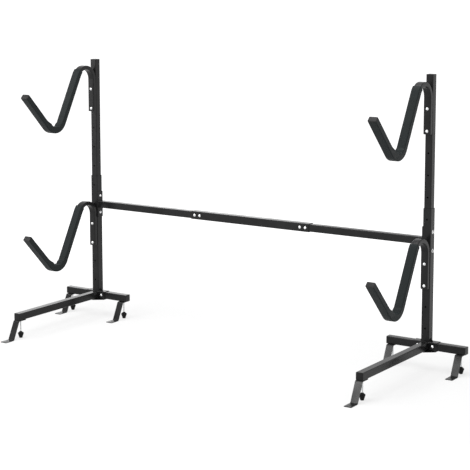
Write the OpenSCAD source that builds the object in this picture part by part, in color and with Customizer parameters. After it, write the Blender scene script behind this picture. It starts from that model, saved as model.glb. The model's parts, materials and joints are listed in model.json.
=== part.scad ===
// Freestanding kayak rack: two telescoping posts on T-shaped bases, tied by a
// three-piece crossbar, each post carrying two padded V arms that reach forward.
// Frame: X along the crossbar, -Y towards the front, Z up from the floor.

/* [Overall] */
// Distance between the two post axes
post_spacing = 1914; // [1700:2:2100]
// Height of the middle of the base tubes above the floor
base_height = 108.5; // [100:0.5:120]

/* [Square tubes] */
// Outer width of the larger square tube
big_tube = 40; // [38:0.5:44]
// Wall of the square tubes
tube_wall = 2; // [1.6:0.1:2.4]
// Slip clearance on each side of a tube that slides in another
slip = 0.5; // [0.3:0.1:0.7]
// Outside corner radius of the square tubes
tube_corner = 3.5; // [3:0.5:5]

/* [Posts] */
// Length of the lower post, from the hub to its open top
lower_post_len = 610; // [600:5:640]
// Length of the upper post
upper_post_len = 840; // [820:5:900]
// How far the upper post slides down inside the lower one
post_overlap = 240; // [220:5:260]
// Height of the lowest adjustment hole above the hub
first_hole = 60; // [50:1:70]
// Spacing of the adjustment holes
hole_pitch = 100; // [96:1:104]
// Least distance of a hole from the end of its post
hole_margin = 20; // [15:1:25]
// Undrilled length at the top of the upper post
plain_top = 100; // [90:1:120]
// Hole that takes the top bolt of the lower arm, counted up from the lowest
lower_arm_hole = 3; // [2:1:4]
// Hole that takes the top bolt of the upper arm, counted up from the lowest
upper_arm_hole = 10; // [8:1:10]

/* [Base] */
// Length of the sleeve that the cross legs slide into
hub_len = 120; // [110:2:140]
// Distance of each cross leg bolt from the post axis
hub_bolt_x = 37; // [34:1:45]
// Reach of a cross leg from the post axis to its end
cross_reach = 198; // [190:1:230]
// Gap between the post axis and the hidden end of a cross leg
cross_start = 15; // [8:1:20]
// Reach of the front leg from the post axis to its end
front_reach = 630; // [560:5:700]
// Length of the spigot that the front leg slides over
spigot_len = 90; // [80:5:110]
// Distance of the spigot bolt from the hub face
spigot_bolt_y = 45; // [42:1:55]
// Height of the small gussets between post and hub
gusset_h = 14; // [10:1:20]
// Length of the small gussets along the hub
gusset_l = 11; // [8:1:16]
// Thickness of the small gussets
gusset_t = 4; // [3:0.5:6]
// Width of the blunt top and toe of the small gussets
gusset_blunt = 2; // [1:0.5:3]
// Thickness of the tapered plate welded under the hub
keel_t = 4; // [3:0.5:5]
// Distance from each end of the hub to the end of its under plate
keel_inset = 7; // [4:0.5:10]
// Reach of the under plate ahead of the hub, below the front leg
keel_reach = 30; // [24:1:32]
// Width of the blunt tip of the under plate
keel_tip = 16; // [12:1:24]

/* [Crossbar] */
// Height of the crossbar axis above the hub
crossbar_height = 460; // [450:2:470]
// Length of the larger middle tube
middle_len = 680; // [600:10:760]
// How far an end tube slides into the middle tube
splice_overlap = 78; // [70:1:100]
// Distance of the outer splice bolt from the end of the middle tube
splice_edge = 20; // [16:1:24]
// Distance between the two splice bolts at one end
splice_pitch = 30; // [26:1:34]
// Height of the end plates of the crossbar
plate_h = 135; // [120:1:150]
// Width of the end plates of the crossbar
plate_w = 38; // [36:1:40]
// Thickness of the end plates of the crossbar
plate_t = 4; // [3:0.5:5]
// Corner radius of the end plates
plate_corner = 4; // [2:0.5:6]
// Distance of the end plate bolts from the crossbar axis
plate_bolt_z = 43; // [38:1:48]

/* [Arms] */
// Width of the arm tube across the rack
arm_w = 35; // [32:1:38]
// Depth of the arm tube
arm_d = 20; // [18:1:22]
// Wall of the arm tube
arm_wall = 1.5; // [1.2:0.1:2]
// Outside corner radius of the arm tube
arm_corner = 3; // [2.5:0.5:4]
// Length of the arm tube below its lower bolt
arm_tail = 12; // [12:1:20]
// Height of the start of the arch above the upper bolt
arch_start = 50; // [40:1:60]
// Radius of the arch to the middle of the tube
arch_r = 64; // [50:1:76]
// Slope of the back stretch of the V, from vertical
back_angle = 28.4; // [24:0.2:32]
// Length of the straight back stretch of the V
back_len = 264; // [220:1:300]
// Radius of the bottom of the V to the middle of the tube
vee_r = 68; // [50:1:80]
// Slope of the front stretch of the V, from vertical
front_angle = 44.1; // [36:0.1:50]
// Length of the straight front stretch of the V
front_len = 230; // [190:1:260]

/* [Foam sleeves] */
// Thickness of the foam sleeve
foam_t = 2.2; // [1.8:0.1:5]
// Outside corner radius of the foam sleeve
foam_corner = 5; // [4:0.5:7]
// Part of the arch left bare before the foam starts, in degrees
foam_start_angle = 130; // [115:1:145]
// Clearance between foam and tube
foam_fit = 0.1; // [0.05:0.05:0.3]

/* [Feet] */
// Distance of each levelling foot from the end of its leg
foot_inset = 26; // [24:1:36]
// Thread diameter of the levelling feet
stud_d = 8; // [6:0.5:10]
// Height of the moulded pad of a levelling foot
pad_h = 33; // [28:1:38]
// Widest diameter of the moulded pad
pad_d = 29; // [26:1:34]
// Diameter of the pad where it meets the floor
pad_base_d = 16; // [14:1:20]
// Height at which the pad is widest
pad_wide_z = 24.5; // [21:0.5:26]
// Height of the upright rim at the widest part of the pad
pad_rim = 3; // [1:0.5:5]
// Diameter of the pad's neck around the thread
pad_neck_d = 12; // [12:0.5:14]
// Height of the pad's neck
pad_neck_h = 2.5; // [1.5:0.5:4]
// Rounding of the pad's lower edge and neck
pad_round = 1; // [0.5:0.5:1.5]
// Number of finger flutes around the pad
pad_flutes = 6; // [5:1:8]
// Radius of a finger flute
pad_flute_r = 4.6; // [4:0.2:6]
// How deep a finger flute cuts into the widest part of the pad
pad_flute_depth = 1.4; // [0.8:0.1:2]
// How far a levelling foot can be screwed out from rest
foot_down = 8; // [4:1:10]
// Thread left above its nut when a levelling foot is fully out
stud_spare = 0.5; // [0.5:0.5:2]

/* [Foot plates] */
// Thickness of the bent foot plates
strap_t = 3.5; // [3:0.5:5]
// Width of the bent foot plates
strap_w = 35; // [30:1:38]
// How far the top flange runs behind the levelling foot
strap_back = 20; // [14:1:24]
// How far the top flange runs ahead of the levelling foot
strap_front = 29; // [24:1:34]
// How far ahead of the foot the slope meets the floor
strap_toe = 70; // [60:1:84]
// How far ahead of the foot the floor flange ends
strap_tip = 126; // [110:1:140]
// Diameter of the ground stake hole
stake_d = 10; // [8:0.5:12]
// How far ahead of the foot the ground stake hole lies
stake_reach = 100; // [96:1:104]
// Inside radius of the bends of the foot plates
strap_bend = 4; // [3:0.5:6]

/* [Fasteners] */
// Diameter of the bolts
bolt_d = 8; // [6:0.5:8]
// Radial clearance of a bolt in a drilled hole
bolt_fit = 0.25; // [0.15:0.05:0.5]
// Radial clearance of a thread in its nut
thread_fit = 0.1; // [0.05:0.05:0.1]
// Diameter of the domed bolt heads
head_d = 14; // [13:0.5:16]
// Height of the domed bolt heads
head_h = 4.4; // [3.5:0.1:5.5]
// Width of the nuts across their flats
nut_flats = 13; // [12:0.5:14]
// Diameter of the flange of the nuts
nut_flange_d = 17.5; // [15:0.5:18]
// Thickness of the flange of the nuts
nut_flange_t = 1.6; // [1:0.1:2]
// Full height of the nuts
nut_h = 8; // [6:0.5:8.5]
// Bolt thread left past its nut
bolt_tail = 2; // [1:0.5:3]

/* [End caps] */
// Thickness of the visible flange of a tube cap
cap_t = 2.5; // [1.5:0.5:4]
// Depth of the plug of a tube cap inside its tube
cap_plug = 7; // [4:0.5:7.5]
// Thickness of the cap on the tip of an arm
tip_cap_t = 6; // [4:0.5:9]
// Width of the step around the top of the cap on the tip of an arm
tip_cap_edge = 1.2; // [0.6:0.2:2]
// Clearance between a cap's plug and its tube
cap_fit = 0.1; // [0.05:0.05:0.3]

/* [Hidden] */

round_fn = 48;
corner_fn = 32;
fine_fn = 96;
small_tube = big_tube - 2 * (tube_wall + slip);
spigot = small_tube - 2 * (tube_wall + slip);
hub_top = base_height + big_tube / 2;
lower_top = hub_top + lower_post_len;
upper_bottom = lower_top - post_overlap;
upper_top = upper_bottom + upper_post_len;
crossbar_z = hub_top + crossbar_height;
hole_d = bolt_d + 2 * bolt_fit;
nut_bore = bolt_d + 2 * thread_fit;
leg_under = base_height - small_tube / 2;
leg_floor = leg_under + tube_wall;
stud_hole = stud_d + 2 * bolt_fit;
weld_nut_h = nut_h - nut_flange_t;
stud_top = leg_floor + weld_nut_h + foot_down + stud_spare;
stud_seat = pad_h / 2;
plate_face = post_spacing / 2 - big_tube / 2;
end_tube_x = middle_len / 2 - splice_overlap;
front_foot_y = front_reach - foot_inset;
back_y = big_tube / 2 + nut_h + bolt_tail;
front_y = front_foot_y + strap_tip;
mid_y = (front_y - back_y) / 2;
arch_turn = 180 - back_angle;
arm_drop = hole_pitch + arm_tail;
foam_w = arm_w + 2 * (foam_fit + foam_t);
foam_d = arm_d + 2 * (foam_fit + foam_t);
over = 1;
// Largest turn that one flat facet of an arm bend makes, in degrees
bend_step_angle = 7;
// Flat facets in one bend of a foot plate
strap_chords = 6;

function hole_z(n) = hub_top + first_hole + n * hole_pitch;
function hole_below(z) = floor((z - hole_z(0)) / hole_pitch);
function hole_above(z) = ceil((z - hole_z(0)) / hole_pitch);

// ---- Profiles and small shapes -------------------------------------------

module rounded(w, h, r) {
    square([w - 2 * r, h], center = true);
    square([w, h - 2 * r], center = true);
    for (x = [-1, 1], y = [-1, 1])
        translate([x * (w / 2 - r), y * (h / 2 - r)]) circle(r, $fn = corner_fn);
}

module tube_profile(w, h, wall, r) {
    difference() {
        rounded(w, h, r);
        rounded(w - 2 * wall, h - 2 * wall, r - wall);
    }
}

module square_tube(w, len) {
    linear_extrude(len) tube_profile(w, w, tube_wall, tube_corner);
}

module along_x() { rotate([0, 90, 0]) children(); }
module forward() { rotate([90, 0, 0]) children(); }

// A round hole along Y through whatever lies around the given point
module drill_y(x, z, d, reach) {
    translate([x, 0, z]) forward() cylinder(d = d, h = 2 * reach, center = true, $fn = round_fn);
}

module drill_x(z, d, reach) {
    translate([0, 0, z]) along_x() cylinder(d = d, h = 2 * reach, center = true, $fn = round_fn);
}

// Domed bolt: its seat at the origin, its head towards -Z, its shank towards +Z
module domed_bolt(len) {
    dome_r = (head_d * head_d / 4 + head_h * head_h) / (2 * head_h);
    rotate_extrude($fn = round_fn) union() {
        intersection() {
            translate([0, dome_r - head_h]) circle(dome_r, $fn = fine_fn);
            translate([0, -head_h]) square([head_d / 2, head_h]);
        }
        translate([0, -over]) square([bolt_d / 2, len + over]);
    }
}

// Flange nut: its seat at the origin, its hexagon towards +Z
module flange_nut() {
    difference() {
        union() {
            cylinder(d = nut_flange_d, h = nut_flange_t, $fn = round_fn);
            cylinder(d = nut_flats / cos(30), h = nut_h, $fn = 6);
        }
        translate([0, 0, -over]) cylinder(d = nut_bore, h = nut_h + 2 * over, $fn = round_fn);
    }
}

// Plain weld nut, its seat at the origin
module weld_nut(bore) {
    difference() {
        cylinder(d = nut_flats / cos(30), h = weld_nut_h, $fn = 6);
        translate([0, 0, -over]) cylinder(d = bore, h = weld_nut_h + 2 * over, $fn = round_fn);
    }
}

// Push-in cap: its flange from the origin towards +Z, its plug towards -Z
module tube_cap(w, h, wall, r) {
    linear_extrude(cap_t) rounded(w, h, r);
    plug(w, h, wall, r);
}

module plug(w, h, wall, r) {
    fit = wall + cap_fit;
    translate([0, 0, -cap_plug])
        linear_extrude(cap_plug + over) difference() {
            rounded(w - 2 * fit, h - 2 * fit, r);
            rounded(w - 2 * (fit + wall), h - 2 * (fit + wall), r - wall);
        }
}

// ---- Posts ----------------------------------------------------------------

module lower_post() {
    color("#26282a") difference() {
        translate([0, 0, hub_top]) square_tube(big_tube, lower_post_len);
        for (n = [0 : hole_below(lower_top - hole_margin)])
            drill_y(0, hole_z(n), hole_d, big_tube);
        for (s = [-1, 1]) drill_x(crossbar_z + s * plate_bolt_z, hole_d, big_tube);
    }
}

module upper_post() {
    color("#26282a") difference() {
        translate([0, 0, upper_bottom]) square_tube(small_tube, upper_post_len);
        for (n = [hole_above(upper_bottom + hole_margin) : hole_below(upper_top - plain_top)])
            drill_y(0, hole_z(n), hole_d, big_tube);
        for (s = [-1, 1]) drill_x(crossbar_z + s * plate_bolt_z, hole_d, big_tube);
    }
}

module post_cap() {
    color("#1b1b1b") translate([0, 0, upper_top])
        tube_cap(small_tube, small_tube, tube_wall, tube_corner);
}

// ---- Bases ----------------------------------------------------------------

module gusset() {
    translate([big_tube / 2, gusset_t / 2, hub_top]) forward()
        linear_extrude(gusset_t) polygon([
            [0, -over], [gusset_l, -over], [gusset_l, gusset_blunt],
            [gusset_blunt, gusset_h], [0, gusset_h]
        ]);
}

module hub_keel() {
    end_x = hub_len / 2 - keel_inset;
    side_y = big_tube / 2 - tube_corner;
    tip_y = big_tube / 2 + keel_reach;
    translate([0, 0, base_height - big_tube / 2 - keel_t])
        linear_extrude(keel_t) polygon([
            [-end_x, side_y], [-end_x, -side_y], [-keel_tip / 2, -tip_y],
            [keel_tip / 2, -tip_y], [end_x, -side_y], [end_x, side_y]
        ]);
}

module base_hub() {
    color("#26282a") difference() {
        union() {
            translate([-hub_len / 2, 0, base_height]) along_x() square_tube(big_tube, hub_len);
            translate([0, over - big_tube / 2, base_height]) forward()
                linear_extrude(spigot_len + over)
                    tube_profile(spigot, spigot, tube_wall, tube_corner);
            for (s = [0, 1]) mirror([s, 0, 0]) gusset();
            hub_keel();
        }
        for (s = [-1, 1]) drill_y(s * hub_bolt_x, base_height, hole_d, big_tube);
        translate([0, -big_tube / 2 - spigot_bolt_y, base_height - spigot])
            cylinder(d = hole_d, h = spigot, $fn = round_fn);
    }
}

module front_leg() {
    len = front_reach - big_tube / 2 - cap_t;
    color("#26282a") difference() {
        translate([0, -big_tube / 2, base_height]) forward() square_tube(small_tube, len);
        for (y = [big_tube / 2 + spigot_bolt_y, front_foot_y])
            translate([0, -y, base_height - small_tube])
                cylinder(d = y == front_foot_y ? stud_hole : hole_d, h = small_tube, $fn = round_fn);
    }
}

// Cross leg that runs towards +X
module cross_leg() {
    len = cross_reach - cross_start - cap_t;
    color("#26282a") difference() {
        translate([cross_start, 0, base_height]) along_x() square_tube(small_tube, len);
        drill_y(hub_bolt_x, base_height, hole_d, big_tube);
        translate([cross_reach - foot_inset, 0, base_height - small_tube])
            cylinder(d = stud_hole, h = small_tube, $fn = round_fn);
    }
}

module leg_caps() {
    color("#1b1b1b") {
        translate([0, cap_t - front_reach, base_height]) forward() leg_cap();
        for (s = [0, 1]) mirror([s, 0, 0])
            translate([cross_reach - cap_t, 0, base_height]) along_x() leg_cap();
    }
}

module leg_cap() { tube_cap(small_tube, small_tube, tube_wall, tube_corner); }

// ---- Feet, each drawn on its own thread axis ---------------------------------

// Points of one rounded bend of the strap: turn about a centre between two angles
function arc_points(c, r, from, to) =
    [for (i = [0 : strap_chords]) let (a = from + (to - from) * i / strap_chords)
        c + r * [cos(a), sin(a)]];

module foot_plate() {
    slope = atan2(leg_under - strap_t, strap_toe - strap_front);
    mid_r = strap_bend + strap_t / 2;
    setback = mid_r * tan(slope / 2);
    top = leg_under - strap_t / 2;
    low = strap_t / 2;
    // The two bends of the middle line, drawn in (distance ahead, height)
    upper_c = [strap_front - setback, top - mid_r];
    lower_c = [strap_toe + setback, low + mid_r];
    outline = concat(
        [[-strap_back, top + strap_t / 2]],
        arc_points(upper_c, mid_r + strap_t / 2, 90, 90 - slope),
        arc_points(lower_c, mid_r - strap_t / 2, 270 - slope, 270),
        [[strap_tip, strap_t], [strap_tip, 0]],
        arc_points(lower_c, mid_r + strap_t / 2, 270, 270 - slope),
        arc_points(upper_c, mid_r - strap_t / 2, 90 - slope, 90),
        [[-strap_back, top - strap_t / 2]]
    );
    color("#26282a") difference() {
        rotate([90, 0, -90]) linear_extrude(strap_w, center = true) polygon(outline);
        translate([0, 0, top - strap_t]) cylinder(d = stud_hole, h = 2 * strap_t, $fn = round_fn);
        translate([0, -stake_reach, -over]) cylinder(d = stake_d, h = strap_t + 2 * over, $fn = round_fn);
    }
}

module foot_stud() {
    color("#c9ccd0") translate([0, 0, stud_seat])
        cylinder(d = stud_d, h = stud_top - stud_seat, $fn = round_fn);
}

module foot_pad() {
    color("#161616") difference() {
        rotate_extrude($fn = fine_fn) polygon([
            [0, 0], [pad_base_d / 2 - pad_round, 0], [pad_base_d / 2, pad_round],
            [pad_d / 2, pad_wide_z - pad_rim], [pad_d / 2, pad_wide_z],
            [pad_neck_d / 2 + pad_round, pad_h - pad_neck_h], [pad_neck_d / 2, pad_h], [0, pad_h]
        ]);
        translate([0, 0, stud_seat])
            cylinder(d = stud_d + 2 * thread_fit, h = pad_h, $fn = round_fn);
        for (n = [0 : pad_flutes - 1])
            rotate([0, 0, (n + 0.5) * 360 / pad_flutes])
                translate([pad_d / 2 + pad_flute_r - pad_flute_depth, 0, pad_base_d / 2])
                    cylinder(r = pad_flute_r, h = pad_h, $fn = round_fn);
    }
}

module weld_nuts() {
    color("#c9ccd0") {
        foot_spots() translate([0, 0, leg_floor]) weld_nut(stud_d + 2 * thread_fit);
        translate([0, -big_tube / 2 - spigot_bolt_y, base_height - spigot / 2 + tube_wall])
            weld_nut(nut_bore);
    }
}

module front_spot() { translate([0, -front_foot_y, 0]) children(); }
module cross_spot() { translate([cross_reach - foot_inset, 0, 0]) children(); }
module foot_spots() {
    front_spot() children();
    cross_spot() children();
    inner() cross_spot() children();
}

// ---- Crossbar ----------------------------------------------------------------

function splice_x() = [for (n = [0, 1]) middle_len / 2 - splice_edge - n * splice_pitch];

module crossbar_middle() {
    color("#26282a") difference() {
        translate([-middle_len / 2, 0, crossbar_z]) along_x() square_tube(big_tube, middle_len);
        for (s = [-1, 1], x = splice_x()) drill_y(s * x, crossbar_z, hole_d, big_tube);
    }
}

// End tube and end plate of the +X side
module crossbar_end() {
    len = plate_face - plate_t - end_tube_x;
    color("#26282a") difference() {
        translate([end_tube_x, 0, crossbar_z]) along_x() square_tube(small_tube, len);
        for (x = splice_x()) drill_y(x, crossbar_z, hole_d, big_tube);
    }
}

module end_plate() {
    color("#26282a") difference() {
        translate([plate_face - plate_t, 0, crossbar_z]) along_x()
            linear_extrude(plate_t) rounded(plate_h, plate_w, plate_corner);
        translate([plate_face, 0, 0])
            for (s = [-1, 1]) drill_x(crossbar_z + s * plate_bolt_z, hole_d, 2 * plate_t);
    }
}

// ---- Arms, drawn from the upper bolt hole on the tube's back face ----------------

// A station is a point of the middle line, as (Y, Z), with the heading of the tube
// there, in degrees from straight up, turned towards the front
function heading(a) = [-sin(a), cos(a)];
function radial(a) = [cos(a), sin(a)];
function station(p, a) = [p[0], p[1], a];
function turns(from, to) =
    let (n = ceil(abs(to - from) / bend_step_angle)) [for (i = [1 : n]) from + (to - from) * i / n];
function arch_at(a) = [-arm_d / 2 - arch_r, arch_start] + arch_r * radial(a);
function vee_at(a) =
    arch_at(arch_turn) + back_len * heading(arch_turn) + vee_r * (radial(arch_turn) - radial(a));
function tip_at(extra) = vee_at(front_angle) + (front_len + extra) * heading(front_angle);

// The middle line from an angle on the arch to the tip, with a straight tail before it
function arm_line(start, tail, tip) = concat(
    tail > 0 ? [station(arch_at(start) - tail * heading(start), start)] : [],
    [for (a = concat(start, start < foam_start_angle ? turns(start, foam_start_angle) : [],
        turns(foam_start_angle, arch_turn))) station(arch_at(a), a)],
    [for (a = concat(arch_turn, turns(arch_turn, front_angle))) station(vee_at(a), a)],
    [station(tip_at(tip), front_angle)]
);

// Outline of a rounded bar, anticlockwise, each corner in the given number of chords
function section(w, d, r, chords) = [
    for (q = [0 : 3], c = [0 : chords])
        let (sx = q == 0 || q == 3 ? 1 : -1, sy = q < 2 ? 1 : -1, a = 90 * (q + c / chords))
            [sx * (w / 2 - r) + r * cos(a), sy * (d / 2 - r) + r * sin(a)]
];

// Solid bar with the given outline, swept along the stations
module sweep(line, outline) {
    n = len(outline);
    last = len(line) - 1;
    points = [for (s = line, p = outline)
        [p[0], s[0] + p[1] * cos(s[2]), s[1] + p[1] * sin(s[2])]];
    sides = [for (i = [0 : last - 1], j = [0 : n - 1])
        [i * n + j, (i + 1) * n + j, (i + 1) * n + (j + 1) % n, i * n + (j + 1) % n]];
    polyhedron(points, concat(
        sides, [[for (j = [0 : n - 1]) j]], [[for (j = [0 : n - 1]) last * n + n - 1 - j]]
    ));
}

module tip_frame() {
    translate([0, tip_at(0)[0], tip_at(0)[1]]) rotate([front_angle, 0, 0]) children();
}

module arm_tube() {
    mount_len = arm_drop + arch_start;
    outside = section(arm_w, arm_d, arm_corner, 2);
    inside = section(arm_w - 2 * arm_wall, arm_d - 2 * arm_wall, arm_corner - arm_wall, 1);
    color("#26282a") difference() {
        sweep(arm_line(0, mount_len, -tip_cap_t), outside);
        sweep(arm_line(0, mount_len + over, over), inside);
        for (z = [0, -hole_pitch]) drill_y(0, z, hole_d, 2 * arm_d);
    }
}

module foam_sleeve() {
    color("#2c3232") difference() {
        sweep(arm_line(foam_start_angle, 0, -tip_cap_t), section(foam_w, foam_d, foam_corner, 2));
        sweep(arm_line(foam_start_angle, over, over),
            section(foam_w - 2 * foam_t, foam_d - 2 * foam_t, arm_corner, 2));
    }
}

// Cap as wide as the foam, with a stepped edge around its top
module tip_cap() {
    linear_extrude(tip_cap_t - tip_cap_edge) rounded(foam_w, foam_d, foam_corner);
    linear_extrude(tip_cap_t)
        rounded(foam_w - 2 * tip_cap_edge, foam_d - 2 * tip_cap_edge, foam_corner - tip_cap_edge);
    plug(arm_w, arm_d, arm_wall, arm_corner);
}

module arm_caps() {
    color("#1b1b1b") {
        tip_frame() translate([0, 0, -tip_cap_t]) tip_cap();
        translate([0, -arm_d / 2, -arm_drop]) mirror([0, 0, 1])
            tube_cap(arm_w, arm_d, arm_wall, arm_corner);
    }
}

// Where an arm sits: the hole it hangs from and the face of the post it rests on
module upper_spot() { translate([0, -small_tube / 2, hole_z(upper_arm_hole)]) children(); }
module lower_spot() { translate([0, -big_tube / 2, hole_z(lower_arm_hole)]) children(); }

// ---- Fasteners ------------------------------------------------------------------

// A bolt or nut along +Y whose seat is at the given face
module bolt_y(face, grip) {
    translate([0, face, 0]) rotate([-90, 0, 0]) domed_bolt(grip + nut_h + bolt_tail);
}
module nut_y(face) { translate([0, face, 0]) rotate([-90, 0, 0]) flange_nut(); }

module arm_bolts() {
    color("#c9ccd0") both_sides() for (z = [0, -hole_pitch]) {
        upper_spot() translate([0, 0, z]) bolt_y(-arm_d, arm_d + small_tube);
        lower_spot() translate([0, 0, z]) bolt_y(-arm_d, arm_d + big_tube);
    }
}

module arm_nuts() {
    color("#c9ccd0") both_sides() for (z = [0, -hole_pitch]) {
        upper_spot() translate([0, 0, z]) nut_y(small_tube);
        lower_spot() translate([0, 0, z]) nut_y(big_tube);
    }
}

// Bolts of the end plates run outwards along X, so their heads sit on the plates
module plate_spots() {
    for (s = [0, 1], z = [-1, 1]) mirror([s, 0, 0])
        translate([plate_face, 0, crossbar_z + z * plate_bolt_z]) along_x() children();
}

module plate_bolts() {
    color("#c9ccd0") plate_spots() translate([0, 0, -plate_t])
        domed_bolt(plate_t + big_tube + nut_h + bolt_tail);
}

module plate_nuts() {
    color("#c9ccd0") plate_spots() translate([0, 0, big_tube]) flange_nut();
}

module splice_spots() {
    for (s = [-1, 1], x = splice_x()) translate([s * x, 0, crossbar_z]) children();
}

module splice_bolts() { color("#c9ccd0") splice_spots() bolt_y(-big_tube / 2, big_tube); }
module splice_nuts() { color("#c9ccd0") splice_spots() nut_y(big_tube / 2); }

// The bolts through each hub with their nuts, and the spigot bolt under each front leg
module base_bolts() {
    color("#c9ccd0") both_sides() translate([0, 0, base_height]) {
        for (s = [-1, 1]) translate([s * hub_bolt_x, 0, 0]) {
            bolt_y(-big_tube / 2, big_tube);
            nut_y(big_tube / 2);
        }
        translate([0, -big_tube / 2 - spigot_bolt_y, -small_tube / 2])
            domed_bolt(tube_wall + slip + tube_wall + weld_nut_h + over);
    }
}

// ---- Places ------------------------------------------------------------------------

// The middle of the rack, and its two post axes with +X turned outwards
module centre() { translate([0, mid_y, 0]) children(); }
module centre_left() { centre() mirror([1, 0, 0]) children(); }
module right() { centre() translate([post_spacing / 2, 0, 0]) children(); }
module left() { centre_left() translate([post_spacing / 2, 0, 0]) children(); }
module inner() { mirror([1, 0, 0]) children(); }
module both_sides() {
    for (s = [0, 1]) mirror([s, 0, 0]) translate([post_spacing / 2, 0, 0]) children();
}

left() lower_post();  // lower_post_left
right() lower_post();  // lower_post_right
left() upper_post();  // upper_post_left
right() upper_post();  // upper_post_right
left() post_cap();  // post_cap_left
right() post_cap();  // post_cap_right
left() base_hub();  // base_hub_left
right() base_hub();  // base_hub_right
left() front_leg();  // front_leg_left
right() front_leg();  // front_leg_right
left() cross_leg();  // outer_leg_left
right() cross_leg();  // outer_leg_right
left() inner() cross_leg();  // inner_leg_left
right() inner() cross_leg();  // inner_leg_right
left() leg_caps();  // leg_caps_left
right() leg_caps();  // leg_caps_right
left() front_spot() foot_plate();  // front_foot_plate_left
right() front_spot() foot_plate();  // front_foot_plate_right
left() cross_spot() foot_plate();  // outer_foot_plate_left
right() cross_spot() foot_plate();  // outer_foot_plate_right
left() inner() cross_spot() foot_plate();  // inner_foot_plate_left
right() inner() cross_spot() foot_plate();  // inner_foot_plate_right
left() front_spot() foot_stud();  // front_foot_stud_left
right() front_spot() foot_stud();  // front_foot_stud_right
left() cross_spot() foot_stud();  // outer_foot_stud_left
right() cross_spot() foot_stud();  // outer_foot_stud_right
left() inner() cross_spot() foot_stud();  // inner_foot_stud_left
right() inner() cross_spot() foot_stud();  // inner_foot_stud_right
left() front_spot() foot_pad();  // front_foot_pad_left
right() front_spot() foot_pad();  // front_foot_pad_right
left() cross_spot() foot_pad();  // outer_foot_pad_left
right() cross_spot() foot_pad();  // outer_foot_pad_right
left() inner() cross_spot() foot_pad();  // inner_foot_pad_left
right() inner() cross_spot() foot_pad();  // inner_foot_pad_right
left() weld_nuts();  // weld_nuts_left
right() weld_nuts();  // weld_nuts_right
left() upper_spot() arm_tube();  // upper_arm_left
right() upper_spot() arm_tube();  // upper_arm_right
left() lower_spot() arm_tube();  // lower_arm_left
right() lower_spot() arm_tube();  // lower_arm_right
left() upper_spot() foam_sleeve();  // upper_foam_left
right() upper_spot() foam_sleeve();  // upper_foam_right
left() lower_spot() foam_sleeve();  // lower_foam_left
right() lower_spot() foam_sleeve();  // lower_foam_right
left() upper_spot() arm_caps();  // upper_arm_caps_left
right() upper_spot() arm_caps();  // upper_arm_caps_right
left() lower_spot() arm_caps();  // lower_arm_caps_left
right() lower_spot() arm_caps();  // lower_arm_caps_right
centre() crossbar_middle();
centre_left() crossbar_end();  // crossbar_left
centre() crossbar_end();  // crossbar_right
centre_left() end_plate();  // end_plate_left
centre() end_plate();  // end_plate_right
centre() arm_bolts();
centre() arm_nuts();
centre() plate_bolts();
centre() plate_nuts();
centre() splice_bolts();
centre() splice_nuts();
centre() base_bolts();
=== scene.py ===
import json
import math

import bmesh
import bpy
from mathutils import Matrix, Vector, noise


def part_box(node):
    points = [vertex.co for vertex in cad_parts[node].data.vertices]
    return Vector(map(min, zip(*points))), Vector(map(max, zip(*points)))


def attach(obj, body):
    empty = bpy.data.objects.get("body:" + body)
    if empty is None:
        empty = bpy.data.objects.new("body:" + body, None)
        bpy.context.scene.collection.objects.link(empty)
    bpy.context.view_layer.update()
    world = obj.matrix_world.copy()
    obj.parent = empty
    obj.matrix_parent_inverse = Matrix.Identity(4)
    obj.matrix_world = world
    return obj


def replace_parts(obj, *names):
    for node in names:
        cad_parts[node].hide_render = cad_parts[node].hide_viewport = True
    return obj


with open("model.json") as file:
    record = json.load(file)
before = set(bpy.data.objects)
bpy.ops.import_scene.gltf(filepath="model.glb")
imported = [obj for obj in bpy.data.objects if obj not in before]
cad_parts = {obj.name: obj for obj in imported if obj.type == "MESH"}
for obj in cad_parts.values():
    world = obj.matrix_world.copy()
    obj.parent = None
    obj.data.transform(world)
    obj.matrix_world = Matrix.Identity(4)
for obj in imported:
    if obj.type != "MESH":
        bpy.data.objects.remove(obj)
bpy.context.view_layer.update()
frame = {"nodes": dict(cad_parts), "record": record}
nodes = frame["nodes"]
sides = ("left", "right")
levels = ("upper", "lower")
mm = 0.001
slack = 0.01  # millimetres, for telling which points lie on a plane or a circle


# The photograph's view: the rack from its right front, a little from above
cameraSettings = {
    "place": (3.8832, -5.6054, 1.8202),
    "turn": 33.716,  # degrees to the left of straight ahead
    "down": 7.656,  # degrees below level
    "lens": 113.66,
    "shiftY": -0.15,
    "farthest": 200,
}


def makeCamera(settings):
    data = bpy.data.cameras.new("rackCamera")
    data.lens = settings["lens"]
    data.shift_y = settings["shiftY"]
    data.clip_end = settings["farthest"]
    camera = bpy.data.objects.new("rackCamera", data)
    camera.location = settings["place"]
    camera.rotation_euler = (math.radians(90 - settings["down"]), 0, math.radians(settings["turn"]))
    bpy.context.scene.collection.objects.link(camera)
    bpy.context.scene.camera = camera


makeCamera(cameraSettings)


def addNode(tree, kind, **values):
    node = tree.nodes.new("ShaderNode" + kind)
    for name, value in values.items():
        setattr(node, name, value)
    return node


def fill(node, **values):
    for name, value in values.items():
        node.inputs[name.replace("_", " ")].default_value = value
    return node


def makeGroup(name, inputs, outputs):
    group = bpy.data.node_groups.new(name, "ShaderNodeTree")
    for label, kind in inputs:
        group.interface.new_socket(label, in_out="INPUT", socket_type="NodeSocket" + kind)
    for label, kind in outputs:
        group.interface.new_socket(label, in_out="OUTPUT", socket_type="NodeSocket" + kind)
    return group, group.nodes.new("NodeGroupInput"), group.nodes.new("NodeGroupOutput")


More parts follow.
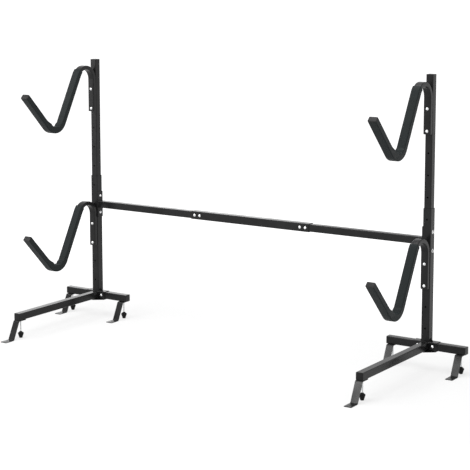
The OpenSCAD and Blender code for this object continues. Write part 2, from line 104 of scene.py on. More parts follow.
def makeGrainGroup():
    # a fine grain as a height, and slow patches that shift colour and roughness
    group, given, made = makeGroup(
        "surfaceGrain",
        [("Vector", "Vector"), ("Grain Scale", "Float"), ("Patch Scale", "Float"),
         ("Deep", "Color"), ("Pale", "Color"), ("Smooth", "Float"), ("Rough", "Float")],
        [("Color", "Color"), ("Roughness", "Float"), ("Height", "Float")],
    )
    links = group.links
    usualNoise = {"From_Min": 0.32, "From_Max": 0.68}  # where most of the patches' values lie
    grain = fill(addNode(group, "TexNoise"), Detail=3.0, Roughness=0.6)
    patch = fill(addNode(group, "TexNoise"), Detail=4.0, Roughness=0.55)
    spread = fill(addNode(group, "MapRange"), **usualNoise)
    tone = addNode(group, "Mix", data_type="RGBA")
    polish = fill(addNode(group, "MapRange"), **usualNoise)
    links.new(given.outputs["Vector"], grain.inputs["Vector"])
    links.new(given.outputs["Vector"], patch.inputs["Vector"])
    links.new(given.outputs["Grain Scale"], grain.inputs["Scale"])
    links.new(given.outputs["Patch Scale"], patch.inputs["Scale"])
    links.new(patch.outputs["Fac"], spread.inputs["Value"])
    links.new(patch.outputs["Fac"], polish.inputs["Value"])
    links.new(given.outputs["Smooth"], polish.inputs["To Min"])
    links.new(given.outputs["Rough"], polish.inputs["To Max"])
    links.new(spread.outputs["Result"], tone.inputs["Factor"])
    links.new(given.outputs["Deep"], tone.inputs["A"])
    links.new(given.outputs["Pale"], tone.inputs["B"])
    links.new(tone.outputs["Result"], made.inputs["Color"])
    links.new(polish.outputs["Result"], made.inputs["Roughness"])
    links.new(grain.outputs["Fac"], made.inputs["Height"])
    return group


grainGroup = makeGrainGroup()

finishes = {
    "black_powder_coat": {
        "deep": (0.0085, 0.0085, 0.0088), "pale": (0.0135, 0.0135, 0.0139),
        "smooth": 0.20, "rough": 0.30, "grain": 900.0, "patch": 14.0,
        "depth": 0.00006, "bump": 0.22, "metal": 0.0, "specular": 0.17,
    },
    "foam": {
        "deep": (0.0065, 0.0095, 0.0100), "pale": (0.0110, 0.0150, 0.0155),
        "smooth": 0.42, "rough": 0.56, "grain": 1500.0, "patch": 26.0,
        "depth": 0.00022, "bump": 0.45, "metal": 0.0, "specular": 0.12,
    },
    "cap_plastic": {
        "deep": (0.0055, 0.0055, 0.0058), "pale": (0.0085, 0.0085, 0.0088),
        "smooth": 0.32, "rough": 0.44, "grain": 2300.0, "patch": 30.0,
        "depth": 0.00006, "bump": 0.3, "metal": 0.0, "specular": 0.2,
    },
    "foot_plastic": {
        "deep": (0.0045, 0.0045, 0.0048), "pale": (0.0070, 0.0070, 0.0073),
        "smooth": 0.42, "rough": 0.55, "grain": 1900.0, "patch": 40.0,
        "depth": 0.00008, "bump": 0.35, "metal": 0.0, "specular": 0.14,
    },
    "zinc": {
        "deep": (0.72, 0.73, 0.74), "pale": (0.86, 0.86, 0.85),
        "smooth": 0.22, "rough": 0.36, "grain": 3200.0, "patch": 90.0,
        "depth": 0.00004, "bump": 0.25, "metal": 1.0, "specular": 0.5,
    },
}
dullEdge = {"from": 0.86, "to": 0.97, "roughness": 0.85}  # a surface seen edge on shines less


def makeFinish(name, look):
    material = bpy.data.materials.new(name)
    material.use_nodes = True
    tree = material.node_tree
    shader = tree.nodes["Principled BSDF"]
    fill(shader, Metallic=look["metal"], Specular_IOR_Level=look["specular"])
    place = addNode(tree, "TexCoord")
    grain = addNode(tree, "Group", node_tree=grainGroup)
    fill(grain, Grain_Scale=look["grain"], Patch_Scale=look["patch"])
    fill(grain, Deep=(*look["deep"], 1), Pale=(*look["pale"], 1))
    fill(grain, Smooth=look["smooth"], Rough=look["rough"])
    bump = fill(addNode(tree, "Bump"), Strength=look["bump"], Distance=look["depth"])
    edge = fill(addNode(tree, "LayerWeight"), Blend=0.5)
    dull = fill(addNode(tree, "MapRange"), From_Min=dullEdge["from"], From_Max=dullEdge["to"],
                To_Max=dullEdge["roughness"])
    tree.links.new(edge.outputs["Facing"], dull.inputs["Value"])
    tree.links.new(grain.outputs["Roughness"], dull.inputs["To Min"])
    tree.links.new(place.outputs["Object"], grain.inputs["Vector"])
    tree.links.new(grain.outputs["Color"], shader.inputs["Base Color"])
    tree.links.new(dull.outputs["Result"], shader.inputs["Roughness"])
    tree.links.new(grain.outputs["Height"], bump.inputs["Height"])
    tree.links.new(bump.outputs["Normal"], shader.inputs["Normal"])
    return material


materials = {name: makeFinish(name, look) for name, look in finishes.items()}

for part in frame["record"]["subparts"]:
    mesh = nodes[part["node"]].data
    mesh.materials.clear()
    mesh.materials.append(materials[part["material_slot"]])
print("materials:", ", ".join(materials))


# Tools for new pieces; a mesh is shaped in millimetres and placed in metres at the end

def finishPiece(name, bm, slot, body="rack_frame", creaseAngle=35):
    mesh = bpy.data.meshes.new(name)
    bm.to_mesh(mesh)
    bm.free()
    mesh.materials.append(materials[slot])
    mesh.shade_smooth()
    mesh.set_sharp_from_angle(angle=math.radians(creaseAngle))
    piece = bpy.data.objects.new(name, mesh)
    bpy.context.scene.collection.objects.link(piece)
    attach(piece, body)
    return piece


def faceOut(bm):
    # the first call alone can leave a deep thread inside out
    bmesh.ops.recalc_face_normals(bm, faces=bm.faces)
    if bm.calc_volume(signed=True) < 0:
        bmesh.ops.reverse_faces(bm, faces=bm.faces)


def closeUp(bm):
    bmesh.ops.remove_doubles(bm, verts=bm.verts, dist=0.001)
    bmesh.ops.holes_fill(bm, edges=[edge for edge in bm.edges if edge.is_boundary], sides=0)
    faceOut(bm)


def roundedTube(width, depth, form, start, end):
    # an open tube along Z with a rounded rectangular outline
    bm = bmesh.new()
    bmesh.ops.create_grid(bm, x_segments=1, y_segments=1, size=0.5)
    bmesh.ops.scale(bm, vec=(width, depth, 1), verts=bm.verts)
    bmesh.ops.bevel(bm, geom=bm.verts[:], offset=form["corner"], offset_type="OFFSET",
                    segments=form["cornerSteps"], profile=0.5, affect="VERTICES", material=-1)
    for edge in bm.edges[:]:
        cuts = math.floor(edge.calc_length() / form["sideStep"])
        if cuts > 1:
            bmesh.ops.subdivide_edges(bm, edges=[edge], cuts=cuts - 1)
    bmesh.ops.delete(bm, geom=bm.faces[:], context="FACES_ONLY")
    bmesh.ops.translate(bm, vec=(0, 0, start), verts=bm.verts)
    steps = max(1, round((end - start) / form["ringStep"]))
    bmesh.ops.spin(bm, geom=bm.verts[:] + bm.edges[:], cent=(0, 0, 0), axis=(0, 0, 1),
                   dvec=(0, 0, (end - start) / steps), angle=0, steps=steps)
    return bm


# The bent arm tubes, in millimetres and degrees, measured along the middle of the tube
armForm = {
    "width": 35.0,
    "depth": 20.0,
    "corner": 3.0,
    "cornerSteps": 6,
    "sideStep": 40.0,  # more than the flat sides measure, so that they stay uncut
    "mountLength": 162.0,  # straight stretch on the post, from its lower end to the arch
    "archStart": 50.0,  # height of the arch's start above the upper bolt
    "archRadius": 64.0,
    "backSlope": 28.4,
    "backLength": 264.0,
    "veeRadius": 68.0,
    "frontSlope": 44.1,
    "frontLength": 230.0,
    "tipCap": 6.0,  # the cap's own length at the end of the front stretch
    "ringStep": 4.0,
}
archTurn = math.radians(180 - armForm["backSlope"])
veeTurn = archTurn - math.radians(armForm["frontSlope"])
armRuns = [
    (armForm["mountLength"], 0),
    (archTurn * armForm["archRadius"], archTurn),
    (armForm["backLength"], 0),
    (veeTurn * armForm["veeRadius"], -veeTurn),
    (armForm["frontLength"], 0),
]
armLength = sum(length for length, bend in armRuns)
veeMiddle = sum(length for length, bend in armRuns[:3]) + armRuns[3][0] / 2


def outwards(turn):
    return Vector((math.cos(turn), math.sin(turn)))


def alongArm(distance):
    # the middle line's point, as depth and height, and its turn from straight up to the front
    point = Vector((-armForm["depth"] / 2, armForm["archStart"] - armForm["mountLength"]))
    turn = 0.0
    for length, bend in armRuns:
        last = (length, bend) == armRuns[-1]
        step = distance if last else min(distance, length)
        if bend:
            radius = length / bend
            point += radius * (outwards(turn + step / radius) - outwards(turn))
            turn += step / radius
        else:
            point += step * Vector((-math.sin(turn), math.cos(turn)))
        distance -= step
        if distance <= 0:
            break
    return point, turn


def placeOnArm(bm, node):
    # bends a straight tube along the arm and puts it where the node is
    low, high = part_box(node)
    top = armForm["archStart"] + armForm["archRadius"] + armForm["depth"] / 2
    origin = Vector(((low.x + high.x) / 2, high.y, high.z - top * mm))
    stations = {}
    for vert in bm.verts:
        across, deep, far = vert.co
        if far not in stations:
            stations[far] = alongArm(far)
        point, turn = stations[far]
        shift = point + deep * outwards(turn)
        vert.co = origin + mm * Vector((across, shift.x, shift.y))


def makeArm(side, level):
    node = f"{level}_arm_{side}"
    bm = roundedTube(armForm["width"], armForm["depth"], armForm, 0, armLength - armForm["tipCap"])
    closeUp(bm)
    placeOnArm(bm, node)
    arm = finishPiece(f"{level}_bent_arm_{side}", bm, "black_powder_coat")
    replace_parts(arm, node)


# The foam sleeves over the V of each arm
foamForm = {
    "wall": 2.9,
    "fit": 0.1,
    "corner": 2.8,
    "cornerSteps": 5,
    "sideStep": 3.0,  # the flat sides are cut into pieces at least this wide
    "start": 130.0,  # degrees of the arch left bare
    "crown": 0.35,  # how far the broad faces bulge
    "crownFrom": 0.9,  # share of the half depth past which the skin bulges
    "flatFrom": 0.48,  # share of the whole depth past which it moves straight out
    "unevenness": 0.22,
    "unevenGrain": (0.05, 0.05, 0.028),  # how fast it changes across, deep and along
    # the squeezed foam inside the V: place past the V's middle, height and reach
    "mound": (14, 7.0, 28),
    "bunches": [(-42, 3.5, 9), (64, 9.0, 24)],
    "cleft": (-28, 1.5, 3.5),  # a crease, taken off the height
    "sway": 1.6,  # how far the bunches' edges wander along the arm
    "swayGrain": (0.05, 3.1, 0.04),  # how fast that changes across, from sleeve to sleeve and along
    "bunchFrom": -0.5,  # share of the half depth where the bunches start to stand up
    "bunchEase": 1.5,  # more of it keeps them closer to the inner face
    "foldHeight": 0.7,
    "foldSpacing": 8.5,
    "foldReach": 40.0,
    "rim": 0.7,
    "rimSteps": 2,
    "ringStep": 2.0,
    "seedStep": 11.3,  # makes each of the four sleeves uneven in its own way
}


def bunchHeight(place, form, seed):
    # how far the foam stands up inside the V, where the bend squeezes it into bunches
    across, deep, far = place
    grain = form["swayGrain"]
    sway = noise.noise(Vector((across * grain[0], seed * grain[1], far * grain[2])))
    past = far - veeMiddle + form["sway"] * sway
    middle, tall, reach = form["mound"]
    height = tall * math.exp(-(abs((past - middle) / reach) ** 3))
    height += sum(tall * math.exp(-(((past - middle) / reach) ** 2))
                  for middle, tall, reach in form["bunches"])
    middle, tall, reach = form["cleft"]
    height -= tall * math.exp(-abs(past - middle) / reach)
    fold = math.cos(2 * math.pi * past / form["foldSpacing"])
    return height + form["foldHeight"] * fold * math.exp(-((past / form["foldReach"]) ** 2))


def foamPush(place, form, halfWidth, halfDepth, seed):
    # how far a point of the sleeve's skin moves outwards, in millimetres
    across, deep, far = place
    grain = form["unevenGrain"]
    uneven = noise.noise(Vector((across * grain[0], deep * grain[1], far * grain[2] + seed)))
    onBroadFace = abs(deep) > halfDepth * form["crownFrom"]
    crown = form["crown"] * (1 - (across / halfWidth) ** 2) if onBroadFace else 0
    return crown + form["unevenness"] * uneven


def makeFoam(side, level, seed):
    form = foamForm
    node = f"{level}_foam_{side}"
    width = armForm["width"] + 2 * (form["fit"] + form["wall"])
    depth = armForm["depth"] + 2 * (form["fit"] + form["wall"])
    start = armForm["mountLength"] + math.radians(form["start"]) * armForm["archRadius"]
    end = armLength - armForm["tipCap"]
    bm = roundedTube(width, depth, form, start, end)
    bmesh.ops.recalc_face_normals(bm, faces=bm.faces)
    skin = set(bm.verts)
    bmesh.ops.solidify(bm, geom=bm.faces[:], thickness=form["wall"])
    ends = [edge for edge in bm.edges
            if all(min(abs(vert.co.z - start), abs(vert.co.z - end)) < slack for vert in edge.verts)
            and (edge.verts[0] in skin) == (edge.verts[1] in skin)]
    for vert in skin:
        place = vert.co.copy()
        away = Vector((place.x / width, place.y / depth, 0)).normalized()
        if abs(place.y) > depth * form["flatFrom"]:
            away = Vector((0, math.copysign(1, place.y), 0))
        inside = max(0, (place.y / depth * 2 - form["bunchFrom"]) / (1 - form["bunchFrom"]))
        vert.co += away * foamPush(place, form, width / 2, depth / 2, seed)
        vert.co.y += bunchHeight(place, form, seed) * inside ** form["bunchEase"]
    bmesh.ops.bevel(bm, geom=ends, offset=form["rim"], offset_type="OFFSET",
                    segments=form["rimSteps"], profile=0.5, affect="EDGES", material=-1)
    faceOut(bm)
    placeOnArm(bm, f"{level}_arm_{side}")
    foam = finishPiece(f"{level}_foam_sleeve_{side}", bm, "foam", creaseAngle=60)
    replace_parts(foam, node)


for count, (side, level) in enumerate((side, level) for side in sides for level in levels):
    makeArm(side, level)
    makeFoam(side, level, foamForm["seedStep"] * count)
    print("arm and foam:", level, side)


# The threaded studs of the levelling feet
studForm = {
    "pitch": 1.25,
    "depth": 0.68,
    # shares of the pitch where the ridge starts, reaches its top, leaves it and ends
    "ridge": (0.12, 0.42, 0.6, 0.9),
    "steps": 20,
}


def threadedRod(radius, length, form):
    # one pitch of the thread's outline, wound up into the rod
    bm = bmesh.new()
    root = radius - form["depth"]
    rise, top, fall, foot = form["ridge"]
    outline = [(root, 0), (root, rise), (radius, top), (radius, fall), (root, foot), (root, 1)]
    points = [bm.verts.new((x, 0, z * form["pitch"])) for x, z in outline]
    for first, second in zip(points, points[1:]):
        bm.edges.new((first, second))
    turns = math.floor(length / form["pitch"]) - 1
    bmesh.ops.spin(bm, geom=bm.verts[:] + bm.edges[:], cent=(0, 0, 0), axis=(0, 0, 1),
                   dvec=(0, 0, form["pitch"] / form["steps"]), angle=2 * math.pi * turns,
                   steps=turns * form["steps"])
    closeUp(bm)
    return bm


for side in sides:
    for leg in ("front", "outer", "inner"):
        node = f"{leg}_foot_stud_{side}"
        low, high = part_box(node)
        foot = ((low.x + high.x) / 2, (low.y + high.y) / 2, low.z)
        bm = threadedRod((high.x - low.x) / 2 / mm, (high.z - low.z) / mm, studForm)
        bmesh.ops.scale(bm, vec=(mm, mm, mm), verts=bm.verts)
        bmesh.ops.translate(bm, vec=foot, verts=bm.verts)
        stud = finishPiece(f"{leg}_foot_thread_{side}", bm, "zinc", body=f"{leg}_foot_{side}")
        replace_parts(stud, node)
print("studs: threaded")


def joinInto(bm, other):
    mesh = bpy.data.meshes.new("joined")
    other.to_mesh(mesh)
    other.free()
    bm.from_mesh(mesh)
    bpy.data.meshes.remove(mesh)


def solidsOf(node):
    # the corner points of each separate solid in a CAD node
    bm = bmesh.new()
    bm.from_mesh(nodes[node].data)
    bmesh.ops.remove_doubles(bm, verts=bm.verts, dist=1e-6)
    bm.verts.index_update()
    solids, seen = [], set()
    for start in bm.verts:
        if start.index in seen:
            continue
        seen.add(start.index)
        group = [start]
        for vert in group:
            for edge in vert.link_edges:
                other = edge.other_vert(vert)
                if other.index not in seen:
                    seen.add(other.index)
                    group.append(other)
        solids.append([vert.co.copy() for vert in group])
    bm.free()
    return solids


def seatOf(corners, pick):
    # a solid's axis is its longest or shortest side, and starts at the solid's wide end
    low = Vector([min(values) for values in zip(*corners)])
    high = Vector([max(values) for values in zip(*corners)])
    size = high - low
    way = pick(range(3), key=lambda axis: size[axis])
    middle = (low + high) / 2
    axis = Vector([1 if side == way else 0 for side in range(3)])
    spreads = [((corner - middle) - axis * (corner - middle)[way]).length for corner in corners]
    nearlyWidest = 0.98 * max(spreads)
    wide = [corner[way] for corner, spread in zip(corners, spreads) if spread > nearlyWidest]
    if sum(wide) / len(wide) > middle[way]:
        axis = -axis
    turn = Vector((0, 0, 1)).rotation_difference(axis)
    return middle - axis * size[way] / 2, turn, size[way] / mm, size / mm


def placeAt(bm, start, turn):
    bmesh.ops.scale(bm, vec=(mm, mm, mm), verts=bm.verts)
    bmesh.ops.rotate(bm, cent=(0, 0, 0), matrix=turn.to_matrix(), verts=bm.verts)
    bmesh.ops.translate(bm, vec=start, verts=bm.verts)


def spunSolid(outline, steps):
    # turns an outline of (radius, height) points around the Z axis
    bm = bmesh.new()
    points = [bm.verts.new((radius, 0, height)) for radius, height in outline]
    for first, second in zip(points, points[1:]):
        bm.edges.new((first, second))
    bmesh.ops.spin(bm, geom=bm.verts[:] + bm.edges[:], cent=(0, 0, 0), axis=(0, 0, 1),
                   angle=2 * math.pi, steps=steps, use_merge=True)
    closeUp(bm)
    return bm


# Domed bolts with a threaded end
boltForm = {
    "headWidth": 14.0,
    "headHeight": 4.4,
    "rim": 0.25,
    "shank": 7.9,
    "thread": 13.0,  # length of the thread at the bolt's end
    "plain": 1.0,  # the least length under the head without a thread
    "taper": 0.7,  # where the core meets the shank and at its tip
    "tip": 0.9,
    "domeSteps": 9,
    "steps": 40,
}


def boltMesh(length, form):
    radius, height = form["headWidth"] / 2, form["headHeight"]
    ball = (radius ** 2 + height ** 2) / (2 * height)
    turns = [math.asin(radius / ball) * step / form["domeSteps"] for step in range(form["domeSteps"])]
    outline = [(ball * math.sin(turn), ball * (1 - math.cos(turn))) for turn in turns]
    shank = form["shank"] / 2
    core = shank - studForm["depth"]
    thread = min(form["thread"], length - height - form["plain"])
    outline += [(radius, height - form["rim"]), (radius - form["rim"], height), (shank, height),
                (shank, length - thread), (core, length - thread + form["taper"]),
                (core, length - form["tip"]), (core - form["taper"], length), (0, length)]
    bm = spunSolid(outline, form["steps"])
    rod = threadedRod(shank, thread - form["tip"], studForm)
    bmesh.ops.translate(rod, vec=(0, 0, length - thread), verts=rod.verts)
    joinInto(bm, rod)
    return bm


# Flange nuts with a chamfered hexagon
nutForm = {
    "flats": 13.0,
    "flange": 17.5,
    "edge": 0.9,  # height of the flange's rim
    "cone": 2.8,  # height where the flange meets the hexagon
    "bore": 8.0,
    "boreEase": (0.5, 0.6),  # the bore's chamfers at the seat and at the top
    "rimEase": 0.3,
    "chamfer": 30.0,
    "topIn": 0.15,  # how far inside the flats the chamfer starts at the top
    "rings": (1.4, 1.9, 2.4, 2.8, 3.4, 4.5),  # heights of the side's rings above the seat
    "topRings": (1.0, 0.8, 0.6, 0.45, 0.3, 0.15, 0),  # and below the top
    "steps": 72,
}


def nutRadius(angle, height, length, form):
    half = form["flats"] / 2
    hexagon = half / math.cos(angle % (math.pi / 3) - math.pi / 6)
    chamfer = half - form["topIn"] + (length - height) / math.tan(math.radians(form["chamfer"]))
    slope = (form["cone"] - height) / (form["cone"] - form["edge"])
    return max(min(hexagon, chamfer), half + (form["flange"] / 2 - half) * slope)


def nutMesh(length, form):
    bore, rim = form["bore"] / 2, form["flange"] / 2
    seatEase, topEase = form["boreEase"]
    ease = form["rimEase"]
    heights = [*form["rings"], *(length - down for down in form["topRings"])]
    outline = [(bore + seatEase, 0), (rim - ease, 0), (rim, ease), (rim, form["edge"])]
    outline += [(rim, height) for height in heights]
    outline += [(bore + topEase, length), (bore, length - topEase), (bore, seatEase),
                (bore + seatEase, 0)]
    bm = spunSolid(outline, form["steps"])
    for vert in bm.verts:
        x, y, height = vert.co
        if math.hypot(x, y) > rim - slack and height > form["edge"] + slack:
            scale = nutRadius(math.atan2(y, x), height, length, form) / math.hypot(x, y)
            vert.co.x, vert.co.y = x * scale, y * scale
    faceOut(bm)
    return bm


fastenerNodes = ("arm_bolts", "arm_nuts", "plate_bolts", "plate_nuts",
                 "splice_bolts", "splice_nuts", "base_bolts")
boltOrNut = (boltForm["headWidth"] + nutForm["flange"]) / 2  # anything wider is a nut

for node in fastenerNodes:
    allOf = bmesh.new()
    for corners in solidsOf(node):
        start, turn, length, size = seatOf(corners, max)
        if sorted(size)[1] > boltOrNut:
            start, turn, length, size = seatOf(corners, min)
            bm = nutMesh(length, nutForm)
        else:
            bm = boltMesh(length, boltForm)
        placeAt(bm, start, turn)
        joinInto(allOf, bm)
    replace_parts(finishPiece(node[:-1] + "_set", allOf, "zinc"), node)
print("bolts and nuts: made")


# Push-in end caps with a rounded rim
capForm = {
    "thickness": 2.5,
    "corner": 3.5,
    "cornerSteps": 5,
    "sideStep": 40.0,  # more than a cap's sides measure, so that they stay uncut
    "ringStep": 40.0,
    "rim": 0.9,
    "rimSteps": 4,
    "wall": 2.4,  # how far the plug stands in from the cap's side
}
tipCapForm = dict(capForm, thickness=armForm["tipCap"], rim=1.6, wall=5.5, plug=7.0)


def capMesh(width, depth, length, form):
    # the cap's face is at the start and its plug runs to the length
    thickness = form["thickness"]
    bm = roundedTube(width, depth, form, 0, thickness)
    closeUp(bm)
    inner = [face for face in bm.faces if all(vert.co.z > slack for vert in face.verts)]
    rim = [edge for edge in bm.edges if all(vert.co.z < slack for vert in edge.verts)]
    bmesh.ops.bevel(bm, geom=rim, offset=form["rim"], offset_type="OFFSET",
                    segments=form["rimSteps"], profile=0.5, affect="EDGES", material=-1)
    if length > thickness:
        bmesh.ops.inset_region(bm, faces=inner, thickness=form["wall"])
        plug = bmesh.ops.extrude_face_region(bm, geom=inner)["geom"]
        bmesh.ops.delete(bm, geom=inner, context="FACES_ONLY")
        bmesh.ops.translate(bm, vec=(0, 0, length - thickness),
                            verts=[part for part in plug if isinstance(part, bmesh.types.BMVert)])
    faceOut(bm)
    return bm


def squareCap(corners):
    start, turn, length, size = seatOf(corners, min)
    spread = turn.inverted() @ size
    bm = capMesh(abs(spread.x), abs(spread.y), length, capForm)
    placeAt(bm, start, turn)
    return bm


def tipCap(side, level):
    width = armForm["width"] + 2 * (foamForm["fit"] + foamForm["wall"])
    depth = armForm["depth"] + 2 * (foamForm["fit"] + foamForm["wall"])
    bm = capMesh(width, depth, tipCapForm["thickness"] + tipCapForm["plug"], tipCapForm)
    bmesh.ops.scale(bm, vec=(1, 1, -1), verts=bm.verts)
    bmesh.ops.translate(bm, vec=(0, 0, armLength), verts=bm.verts)
    faceOut(bm)
    placeOnArm(bm, f"{level}_arm_{side}")
    return bm


for side in sides:
    for node in (f"post_cap_{side}", f"leg_caps_{side}"):
        allOf = bmesh.new()
        for corners in solidsOf(node):
            joinInto(allOf, squareCap(corners))
        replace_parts(finishPiece(node.replace("cap", "end_cap"), allOf, "cap_plastic"), node)
    for level in levels:
        node = f"{level}_arm_caps_{side}"
        allOf = tipCap(side, level)
        lowest = min(solidsOf(node), key=lambda corners: min(corner.z for corner in corners))
        joinInto(allOf, squareCap(lowest))
        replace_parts(finishPiece(node.replace("caps", "end_caps"), allOf, "cap_plastic"), node)
print("caps: rounded")


# Weld beads in the corners of the hubs and at the crossbar's end plates
weldForm = {
    "leg": 3.0,
    "root": 0.4,  # how far the bead goes into the metal
    "bulge": 0.35,
    "ripple": 0.09,
    "pitch": 2.3,
    "blunt": 0.5,  # millimetres; more of it keeps the bead's ends thicker
    "step": 0.6,
    "arcSteps": 5,
    "gussetWidth": 4.0,
    "gussetLength": 11.0,
    "gussetHeight": 13.5,
    "tubeCorner": 3.5,
    "sideShare": 0.35,  # the bead is thinner where the end plate ends close to the crossbar
}


def weldRun(allOf, start, end, faceA, faceB, form):
    # a bead from start to end, lying in the corner between two faces
    leg, root = form["leg"], form["root"]
    length = (end - start).length
    outline = [(-root, -root), (leg, -root)]
    for step in range(form["arcSteps"] + 1):
        part = step / form["arcSteps"]
        out = 1 + form["bulge"] * math.sin(math.pi * part)
        outline.append((leg * (1 - part) * out, leg * part * out))
    outline.append((-root, leg))
    bm = bmesh.new()
    points = [bm.verts.new((x, y, 0)) for x, y in outline]
    for first, second in zip(points, points[1:] + points[:1]):
        bm.edges.new((first, second))
    steps = round(length / form["step"])
    bmesh.ops.spin(bm, geom=bm.verts[:] + bm.edges[:], cent=(0, 0, 0), axis=(0, 0, 1),
                   dvec=(0, 0, length / steps), angle=0, steps=steps)
    closeUp(bm)
    along = (end - start).normalized()
    for vert in bm.verts:
        x, y, far = vert.co
        ends = min(1, (min(far, length - far) + form["blunt"]) / leg) ** 0.5
        swell = ends * (1 + form["ripple"] * math.cos(2 * math.pi * far / form["pitch"]))
        vert.co = start + (faceA * x + faceB * y) * swell + along * far
    faceOut(bm)
    bmesh.ops.scale(bm, vec=(mm, mm, mm), verts=bm.verts)
    joinInto(allOf, bm)


def hubWelds(side, form):
    # in the corners where the lower post, its gussets and the hub sleeve meet
    low, high = (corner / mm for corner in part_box(f"lower_post_{side}"))
    middle, half = (low + high) / 2, (high.x - low.x) / 2
    thick, short = form["gussetWidth"] / 2, half - form["tubeCorner"]
    up = Vector((0, 0, 1))
    allOf = bmesh.new()
    for x in (-1, 1):
        foot = Vector((middle.x + x * half, middle.y, low.z))
        away = Vector((x, 0, 0))
        for y in (-1, 1):
            across = Vector((0, y, 0))
            edge = foot + across * thick
            weldRun(allOf, edge, foot + across * short, away, up, form)
            weldRun(allOf, edge, edge + away * form["gussetLength"], across, up, form)
            weldRun(allOf, edge, edge + up * form["gussetHeight"], away, across, form)
    finishPiece(f"hub_welds_{side}", allOf, "black_powder_coat", creaseAngle=50)


def plateWelds(side, out, form):
    # along the four sides of the crossbar's end, on the face of its end plate
    low, high = (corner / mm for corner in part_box(f"end_plate_{side}"))
    face = low.x if out > 0 else high.x
    inwards = Vector((-out, 0, 0))
    low, high = (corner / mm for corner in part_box(f"crossbar_{side}"))
    corner = form["tubeCorner"]
    allOf = bmesh.new()
    for z, way in ((low.z, -1), (high.z, 1)):
        start, end = Vector((face, low.y + corner, z)), Vector((face, high.y - corner, z))
        weldRun(allOf, start, end, Vector((0, 0, way)), inwards, form)
    for y, way in ((low.y, -1), (high.y, 1)):
        start, end = Vector((face, y, low.z + corner)), Vector((face, y, high.z - corner))
        weldRun(allOf, start, end, Vector((0, form["sideShare"] * way, 0)), inwards, form)
    finishPiece(f"end_plate_welds_{side}", allOf, "black_powder_coat", creaseAngle=50)


for side, out in zip(sides, (-1, 1)):
    hubWelds(side, weldForm)
    plateWelds(side, out, weldForm)
print("welds: laid")


# Floor, world and lamps
studio = {
    "floorHalf": 90.0,
    "floorPale": 0.82,
    "floorGlow": 0.67,  # the part of the seen floor's white that no shadow reaches
    "floorShade": 0.28,
    "baseX": 0.957,  # the floor takes shadow around each base and is plain white past it
    "shadowReach": (0.8, 1.9),
    "ambient": 0.55,
    "lamps": {
        "overhead": {"place": (0.2, -0.3, 4.8), "aim": (0, 0.1, 0.5), "size": 4.5, "power": 150},
        "keyLeft": {"place": (-3.4, -2.0, 3.6), "aim": (-0.9, 0, 1.0), "size": 2.6, "power": 60},
        "farLeft": {"place": (-4.7, -4.4, 1.2), "aim": (-0.9, 0.3, 0.8), "size": 1.6, "power": 20},
        "farBack": {"place": (-6.6, 8.0, 2.9), "aim": (-0.4, 0.2, 0.3), "size": 4.4, "power": 52},
        "baseLight": {"place": (-1.85, -4.75, 3.1), "aim": (0.95, 0.1, 0.1), "size": 1.4, "power": 72},
    },
}


def seenRays(tree):
    # 1 for what the camera, a gloss or a glass sees, and 0 for light on its way to a matt face
    path = addNode(tree, "LightPath")
    gloss = addNode(tree, "Math", operation="ADD")
    glass = addNode(tree, "Math", operation="ADD", use_clamp=True)
    tree.links.new(path.outputs["Is Camera Ray"], gloss.inputs[0])
    tree.links.new(path.outputs["Is Glossy Ray"], gloss.inputs[1])
    tree.links.new(gloss.outputs["Value"], glass.inputs[0])
    tree.links.new(path.outputs["Is Transmission Ray"], glass.inputs[1])
    return glass.outputs["Value"]


def makeWorld(settings):
    world = bpy.data.worlds.new("studioWorld")
    bpy.context.scene.world = world
    world.use_nodes = True
    tree = world.node_tree
    tree.nodes.clear()
    out = addNode(tree, "OutputWorld")
    mix = addNode(tree, "MixShader")
    dim = fill(addNode(tree, "Background"), Color=(1, 1, 1, 1), Strength=settings["ambient"])
    white = fill(addNode(tree, "Background"), Color=(1, 1, 1, 1), Strength=1.0)
    tree.links.new(seenRays(tree), mix.inputs[0])
    tree.links.new(dim.outputs[0], mix.inputs[1])
    tree.links.new(white.outputs[0], mix.inputs[2])
    tree.links.new(mix.outputs[0], out.inputs["Surface"])


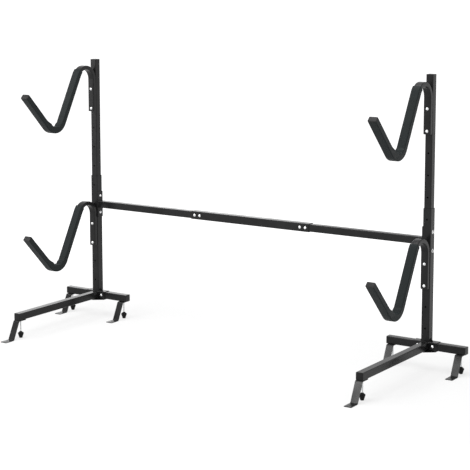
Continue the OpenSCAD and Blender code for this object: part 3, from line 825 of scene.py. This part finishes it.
def makeFloor(settings):
    bm = bmesh.new()
    bmesh.ops.create_grid(bm, x_segments=1, y_segments=1, size=settings["floorHalf"])
    mesh = bpy.data.meshes.new("studioFloor")
    bm.to_mesh(mesh)
    bm.free()
    floor = bpy.data.objects.new("studioFloor", mesh)
    bpy.context.scene.collection.objects.link(floor)
    material = bpy.data.materials.new("paleFloor")
    material.use_nodes = True
    tree = material.node_tree
    tree.nodes.clear()
    out = addNode(tree, "OutputMaterial")
    matt = addNode(tree, "BsdfDiffuse")
    matt.inputs["Color"].default_value = (settings["floorPale"],) * 3 + (1,)
    seen = addNode(tree, "BsdfDiffuse")
    seen.inputs["Color"].default_value = (settings["floorShade"],) * 3 + (1,)
    glow = fill(addNode(tree, "Emission"), Color=(1, 1, 1, 1))
    place = addNode(tree, "TexCoord")
    mirror = addNode(tree, "VectorMath", operation="ABSOLUTE")
    fromBase = addNode(tree, "VectorMath", operation="SUBTRACT")
    fromBase.inputs[1].default_value = (settings["baseX"], 0, 0)
    away = addNode(tree, "VectorMath", operation="LENGTH")
    near, far = settings["shadowReach"]
    fade = fill(addNode(tree, "MapRange"), From_Min=near, From_Max=far, To_Min=settings["floorGlow"])
    tree.links.new(place.outputs["Object"], mirror.inputs[0])
    tree.links.new(mirror.outputs["Vector"], fromBase.inputs[0])
    tree.links.new(fromBase.outputs["Vector"], away.inputs[0])
    tree.links.new(away.outputs["Value"], fade.inputs["Value"])
    tree.links.new(fade.outputs["Result"], glow.inputs["Strength"])
    white = addNode(tree, "AddShader")
    mix = addNode(tree, "MixShader")
    tree.links.new(seen.outputs[0], white.inputs[0])
    tree.links.new(glow.outputs[0], white.inputs[1])
    tree.links.new(seenRays(tree), mix.inputs[0])
    tree.links.new(matt.outputs[0], mix.inputs[1])
    tree.links.new(white.outputs[0], mix.inputs[2])
    tree.links.new(mix.outputs[0], out.inputs["Surface"])
    mesh.materials.append(material)


def makeLamp(name, settings):
    data = bpy.data.lights.new(name, "AREA")
    data.shape = "DISK"
    data.size = settings["size"]
    data.energy = settings["power"]
    lamp = bpy.data.objects.new(name, data)
    lamp.location = settings["place"]
    aim = Vector(settings["aim"]) - Vector(settings["place"])
    lamp.rotation_mode = "QUATERNION"
    lamp.rotation_quaternion = aim.to_track_quat("-Z", "Y")
    bpy.context.scene.collection.objects.link(lamp)


makeWorld(studio)
makeFloor(studio)
for name, settings in studio["lamps"].items():
    makeLamp(name, settings)
bpy.context.scene.view_settings.view_transform = "Standard"
print("studio: floor, world and", len(studio["lamps"]), "lamps")
